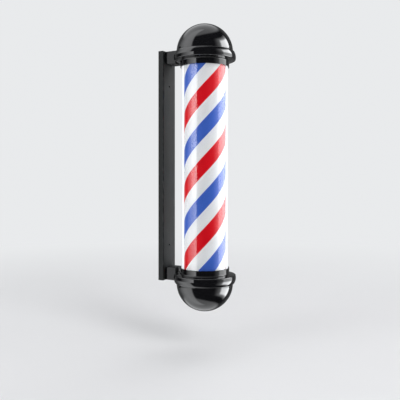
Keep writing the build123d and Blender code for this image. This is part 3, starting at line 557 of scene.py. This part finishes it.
class POLE_OT_striped_film(Maker):
    """Striped film round the drum: eight bands that wind up it, each a strip of its own colour."""

    bl_idname = "pole.striped_film"
    bl_label = "Striped film"

    def build(self, scene):
        sizes, colours = scene.pole_sizes, scene.pole_colours
        rows = sizes.height_divisions
        across = sizes.turns_divisions * 8
        piece = fresh(
            bpy.ops.mesh.primitive_cylinder_add,
            vertices=across,
            radius=FILM_RADIUS,
            depth=FILM_HEIGHT,
            end_fill_type="NOTHING",
            location=POLE,
        )
        bpy.ops.object.mode_set(mode="EDIT")
        mesh = bmesh.from_edit_mesh(piece.data)
        self.set_bands(mesh, sizes)
        bpy.ops.mesh.select_all(action="DESELECT")
        for edge in mesh.edges:
            edge.select_set(abs(edge.verts[0].co.z - edge.verts[1].co.z) > FILM_HEIGHT / 2)
        bmesh.update_edit_mesh(piece.data)
        bpy.ops.mesh.subdivide_edgering(number_cuts=rows - 1, smoothness=0)
        bpy.ops.object.mode_set(mode="OBJECT")
        self.wind(piece, sizes)
        materials = [
            printed_film("red_ink", colours.red, colours.glow, 0.35),
            printed_film("white_film", colours.white, colours.glow, 0.12),
            printed_film("blue_ink", colours.blue, colours.glow, 0.35),
        ]
        for material in materials:
            piece.data.materials.append(material)
        self.paint(piece, sizes)
        settle(piece, "striped_film")
        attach(piece, "drum")
        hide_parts("stripe_film")

    def band_angles(self, sizes):
        """The angles round the drum of the film's upright edges before it is wound."""
        angles = []
        for quarter in range(4):
            start = quarter * pi / 2
            stripe = sizes.stripe_share * pi / 2
            steps = sizes.turns_divisions
            angles += [start + stripe * (i / steps - 0.5) for i in range(steps)]
            gap = pi / 2 - stripe
            angles += [start + stripe / 2 + gap * i / steps for i in range(steps)]
        return angles

    def set_bands(self, mesh, sizes):
        """Moves the cylinder's upright edges so that each band of colour has its own share."""
        angles = self.band_angles(sizes)
        for low in (True, False):
            ring = [v for v in mesh.verts if (v.co.z < 0) == low]
            ring.sort(key=lambda v: atan2(v.co.y, v.co.x) % tau)
            for vertex, angle in zip(ring, angles):
                vertex.co.x = FILM_RADIUS * cos(angle)
                vertex.co.y = FILM_RADIUS * sin(angle)

    def wind(self, piece, sizes):
        """Winds the upright bands up the drum and turns them to their place."""
        twist = piece.modifiers.new("Wind", "SIMPLE_DEFORM")
        twist.deform_method = "TWIST"
        twist.deform_axis = "Z"
        twist.angle = tau * FILM_HEIGHT / sizes.lead
        bpy.ops.object.modifier_apply(modifier=twist.name)
        piece.rotation_euler.z = sizes.start_angle
        bpy.ops.object.transform_apply(location=False, rotation=True, scale=False)

    def paint(self, piece, sizes):
        """Gives each band its colour by its place round the drum."""
        for face in piece.data.polygons:
            centre = face.center
            angle = atan2(centre.y, centre.x) - sizes.start_angle
            angle -= tau * centre.z / sizes.lead
            quarter = (angle / (pi / 2) + sizes.stripe_share / 2) % 4
            if quarter % 1 > sizes.stripe_share:
                face.material_index = 1
            else:
                face.material_index = 0 if int(quarter) % 2 == 0 else 2
            face.use_smooth = True


class POLE_OT_caps(Maker):
    """Finish of the domes, the collars, their screws and the tube's seals."""

    bl_idname = "pole.caps"
    bl_label = "Caps"

    def build(self, scene):
        gloss = moulded_gloss("gloss_black_moulding", scene.pole_colours.black)
        dress(gloss, *both("dome"), *both("collar"))
        blacked = plated_steel("blackened_screws", (0.03, 0.03, 0.032), (0.012, 0.011, 0.011), rough=0.3)
        dress(blacked, *both("dome_screws"))
        dress(rubber("black_rubber"), *both("tube_seal"), "supply_grommet")


class POLE_OT_tube(Maker):
    """Finish of the clear outer tube."""

    bl_idname = "pole.tube"
    bl_label = "Clear tube"

    def build(self, scene):
        dress(clear_acrylic("clear_acrylic", scene.pole_colours.glow), "clear_tube")


class POLE_OT_mount(Maker):
    """Finish of the wall channel, the arms and their fixings."""

    bl_idname = "pole.mount"
    bl_label = "Wall mount"

    def build(self, scene):
        colours = scene.pole_colours
        dress(powder_coat("satin_powder_coat", colours.satin), "wall_channel")
        for arm in both("arm"):
            dress(baked_enamel(f"{arm}_enamel", colours.black, arm), arm)
        zinc = plated_steel("zinc_plate", (0.62, 0.63, 0.65), (0.42, 0.43, 0.44))
        dress(zinc, *both("arm_bolts"), *both("plate_screws"))
        dress(zinc, *both("mounting_plate"), *both("spindle_nuts"), *both("thrust_washer"))
        dress(zinc, "ring_gear_screws", "motor_screws", "driver_screws", "terminal_screws")
        black_zinc = plated_steel("black_zinc_plate", (0.03, 0.03, 0.032), (0.015, 0.015, 0.015))
        dress(black_zinc, "wall_screw_spacers")


class POLE_OT_drive(Maker):
    """Finish of the drum's inside, the spindle, the gears and the motor."""

    bl_idname = "pole.drive"
    bl_label = "Drum and drive"

    def build(self, scene):
        colours = scene.pole_colours
        # Painted light: the opal shell glows of itself, as if lit by the core inside.
        dress(moulded_plastic("opal_shell", colours.white, 0.35, colours.glow), "drum_shell")
        nylon = moulded_plastic("white_nylon", (0.78, 0.76, 0.7), 0.45)
        dress(nylon, *both("drum_hub"), *both("drum_bush"), "ring_gear")
        turned = plated_steel("turned_steel", (0.55, 0.55, 0.56), (0.35, 0.34, 0.33), (1, 1, 0.05))
        dress(turned, "centre_spindle")
        brass = plated_steel("cut_brass", (0.72, 0.5, 0.18), (0.45, 0.28, 0.1), rough=0.22)
        dress(brass, "drive_pinion")
        dark = plated_steel("oiled_steel", (0.2, 0.2, 0.21), (0.1, 0.09, 0.08))
        dress(dark, "motor_shaft", "pinion_grub_screw")
        pressed = plated_steel("pressed_steel", (0.5, 0.51, 0.53), (0.36, 0.36, 0.36), (1, 1, 0.2), 0.34)
        dress(pressed, "motor_case", "motor_cover")


class POLE_OT_electrics(Maker):
    """Finish of the light core, its LEDs, the driver, the terminal block and the leads."""

    bl_idname = "pole.electrics"
    bl_label = "Electrics"

    def build(self, scene):
        white = moulded_plastic("white_moulding", (0.75, 0.75, 0.73))
        dress(white, "driver_case", "driver_lid", "terminal_block", *both("core_cap"))
        dress(circuit_board("green_board", (0.01, 0.09, 0.03), (0.6, 0.6, 0.58)), "driver_board")
        dress(circuit_board("white_board", (0.7, 0.7, 0.68), (0.75, 0.6, 0.3)), "led_bars")
        drawn = plated_steel("drawn_aluminium", (0.75, 0.76, 0.77), (0.6, 0.6, 0.61), (1, 1, 0.03))
        dress(drawn, "light_core")
        dress(moulded_plastic("led_phosphor", (0.95, 0.85, 0.5), 0.5, 1.0), "led_chips")
        dress(moulded_plastic("lead_sheath", (0.32, 0.32, 0.33), 0.5), "motor_lead", "driver_lead")


class POLE_OT_stage(Maker):
    """Floor and backdrop, lamps, world and camera."""

    bl_idname = "pole.stage"
    bl_label = "Stage"

    def build(self, scene):
        settings = scene.stage_settings
        self.make_floor(settings)
        self.make_lamps(settings)
        self.make_world(scene)
        self.make_camera(scene, settings)
        scene.view_settings.view_transform = "Standard"

    def make_floor(self, settings):
        """A pale floor that curves up into a backdrop behind the object."""
        level = CAD_BOX[0].z - settings.floor_drop
        floor = fresh(
            bpy.ops.mesh.primitive_plane_add, size=FLOOR_SIZE, location=(POLE.x, POLE.y, level)
        )
        bpy.ops.object.mode_set(mode="EDIT")
        bpy.ops.mesh.select_all(action="DESELECT")
        mesh = bmesh.from_edit_mesh(floor.data)
        for edge in mesh.edges:
            edge.select_set(all(vertex.co.y > FLOOR_SIZE / 4 for vertex in edge.verts))
        bmesh.update_edit_mesh(floor.data)
        bpy.ops.mesh.extrude_region_move(TRANSFORM_OT_translate={"value": (0, 0, BACKDROP_HEIGHT)})
        bpy.ops.mesh.select_all(action="DESELECT")
        for edge in mesh.edges:
            edge.select_set(all(v.co.y > FLOOR_SIZE / 4 and v.co.z < 1 for v in edge.verts))
        bmesh.update_edit_mesh(floor.data)
        bpy.ops.mesh.bevel(offset=BACKDROP_CURVE, segments=16, profile=0.5)
        floor.rotation_euler.z = settings.turn
        settle(floor, "floor")
        bpy.ops.object.shade_smooth()
        finish = Finish("pale_paper")
        cloud = finish.noise(3, 3)
        colour = settings.floor_colour
        base = finish.mix(cloud, solid(colour), solid(colour, 0.97))
        x, y, _ = finish.axes(shift=(-POLE.x, -POLE.y, 0))
        far = (x * x + y * y).power(0.5).ramp(0.35, 2.4)
        seen = finish.add("ShaderNodeLightPath", output="Is Camera Ray")
        paper = finish.principled(base, 0.7)
        haze = finish.add("ShaderNodeEmission", None, {"Color": SKY_COLOUR, "Strength": SKY_LEVEL})
        mixed = finish.add("ShaderNodeMixShader", None, {0: far * seen, 1: paper, 2: haze})
        floor.data.materials.append(finish.finished(mixed))
        floor.visible_glossy = False
        floor.visible_transmission = False

    def toward(self, settings, turn, distance, height):
        """A point at a turn from the camera's side of the pole, positive to the picture's right."""
        angle = settings.turn + turn
        return Vector(
            (POLE.x + sin(angle) * distance, POLE.y - cos(angle) * distance, POLE.z + height)
        )

    def add_lamp(self, settings, name, turn, distance, height, size, power):
        lamp = bpy.data.lights.new(name, "AREA")
        lamp.shape = "RECTANGLE"
        lamp.size, lamp.size_y = size
        lamp.energy = power
        holder = bpy.data.objects.new(name, lamp)
        bpy.context.scene.collection.objects.link(holder)
        place = self.toward(settings, turn, distance, height)
        holder.location = place
        holder.rotation_euler = (POLE - place).to_track_quat("-Z", "Y").to_euler()
        return holder

    def make_lamps(self, settings):
        """Soft key, fill and top lamps, which glossy surfaces do not see."""
        self.add_lamp(settings, "key", radians(38), 2.4, 1.3, (1.2, 1.2), 26)
        self.add_lamp(settings, "fill", radians(-55), 2.6, 0.6, (1.6, 1.6), 18)
        self.add_lamp(settings, "top", radians(150), 2.0, 2.2, (1.6, 1.6), 24)
        for holder in bpy.context.scene.objects:
            if holder.type == "LIGHT":
                holder.visible_glossy = False

    def make_world(self, scene):
        """Even pale surroundings. Glossy surfaces see a dark studio with soft boxes instead."""
        world = bpy.data.worlds.new("studio")
        scene.world = world
        finish = Finish("studio", world)
        seen, glossy, through = [
            finish.add("ShaderNodeLightPath", output=f"Is {ray} Ray")
            for ray in ("Camera", "Glossy", "Transmission")
        ]
        even = LIGHT_LEVEL + seen * (SKY_LEVEL - LIGHT_LEVEL)
        boxes = self.soft_boxes(finish, scene.stage_settings.turn, through)
        strength = even * (1 - glossy) + boxes * glossy
        sky = finish.add("ShaderNodeBackground", None, {"Color": SKY_COLOUR, "Strength": strength})
        finish.finished(sky)

    def soft_boxes(self, finish, turn, through):
        """Light by direction: tall boxes left and right, a strip left of the camera, and ends.

        Behind the object the surroundings stay pale for what is seen through the tube.
        """
        right = self.along(finish, (cos(turn), sin(turn), 0.0))
        front = self.along(finish, (sin(turn), -cos(turn), 0.0))
        side = right.degrees_from(front)
        height = abs(self.along(finish, (0.0, 0.0, 1.0)))
        low = 1 - height.ramp(0.2, 0.31)
        left_box = side.ramp(-140, -78) * (1 - side.ramp(-60, -50)) * (1 - low)
        strip = ((side + 98) / 56).at_least(0.0) * (1 - side.ramp(-44, -39)) * low * 3.2
        shoulder = side.ramp(38, 78) * (1 - side.ramp(114, 124)) * (1 - height.ramp(0.6, 0.72))
        right_box = side.ramp(66, 78) * (1 - side.ramp(114, 122)) * (1 - height.ramp(0.52, 0.62))
        right_light = shoulder * (1.9 - low * 0.9) + right_box * (7.6 - low * 5.2)
        ends = (height - front * 0.22 - right * 0.2).ramp(0.76, 0.87)
        ends = ends * (1 - left_box)
        behind = (1 - front.ramp(-0.7, -0.3)) * (0.14 + through * 0.6)
        return left_box * (2.2 - ends * 0.9) + strip + right_light + ends * 1.1 + behind + 0.003

    def along(self, finish, axis):
        """How far a direction points along an axis."""
        return finish.add(
            "ShaderNodeVectorMath", {"operation": "DOT_PRODUCT"}, {0: finish.place, 1: axis}, "Value"
        )

    def make_camera(self, scene, settings):
        camera = bpy.data.cameras.new("camera")
        camera.lens = settings.lens
        camera.shift_x, camera.shift_y = CAMERA_SHIFT
        holder = bpy.data.objects.new("camera", camera)
        scene.collection.objects.link(holder)
        holder.location = self.toward(settings, 0.0, settings.distance, 0.0)
        holder.location.z = settings.height
        holder.rotation_euler = (pi / 2, 0.0, settings.turn)
        scene.camera = holder


class POLE_PT_panel(bpy.types.Panel):
    """Buttons and settings of the barber pole light."""

    bl_label = "Barber Pole Light"
    bl_space_type = "VIEW_3D"
    bl_region_type = "UI"
    bl_category = "Barber Pole"

    def draw(self, context):
        for maker in MAKERS:
            self.layout.operator(maker.bl_idname)
        for group in (context.scene.pole_sizes, context.scene.pole_colours, context.scene.stage_settings):
            for name in group.__annotations__:
                self.layout.prop(group, name)


GROUPS = {"pole_sizes": PoleSizes, "pole_colours": PoleColours, "stage_settings": StageSettings}
MAKERS = (
    POLE_OT_striped_film,
    POLE_OT_caps,
    POLE_OT_tube,
    POLE_OT_mount,
    POLE_OT_drive,
    POLE_OT_electrics,
    POLE_OT_stage,
)


def register():
    for kind in (*GROUPS.values(), *MAKERS, POLE_PT_panel):
        bpy.utils.register_class(kind)
    for name, kind in GROUPS.items():
        setattr(bpy.types.Scene, name, bpy.props.PointerProperty(type=kind))


def unregister():
    for name in GROUPS:
        delattr(bpy.types.Scene, name)
    for kind in reversed((*GROUPS.values(), *MAKERS, POLE_PT_panel)):
        bpy.utils.unregister_class(kind)


def main():
    register()
    for maker in MAKERS:
        getattr(bpy.ops.pole, maker.bl_idname.split(".")[1])()


if __name__ == "__main__":
    main()
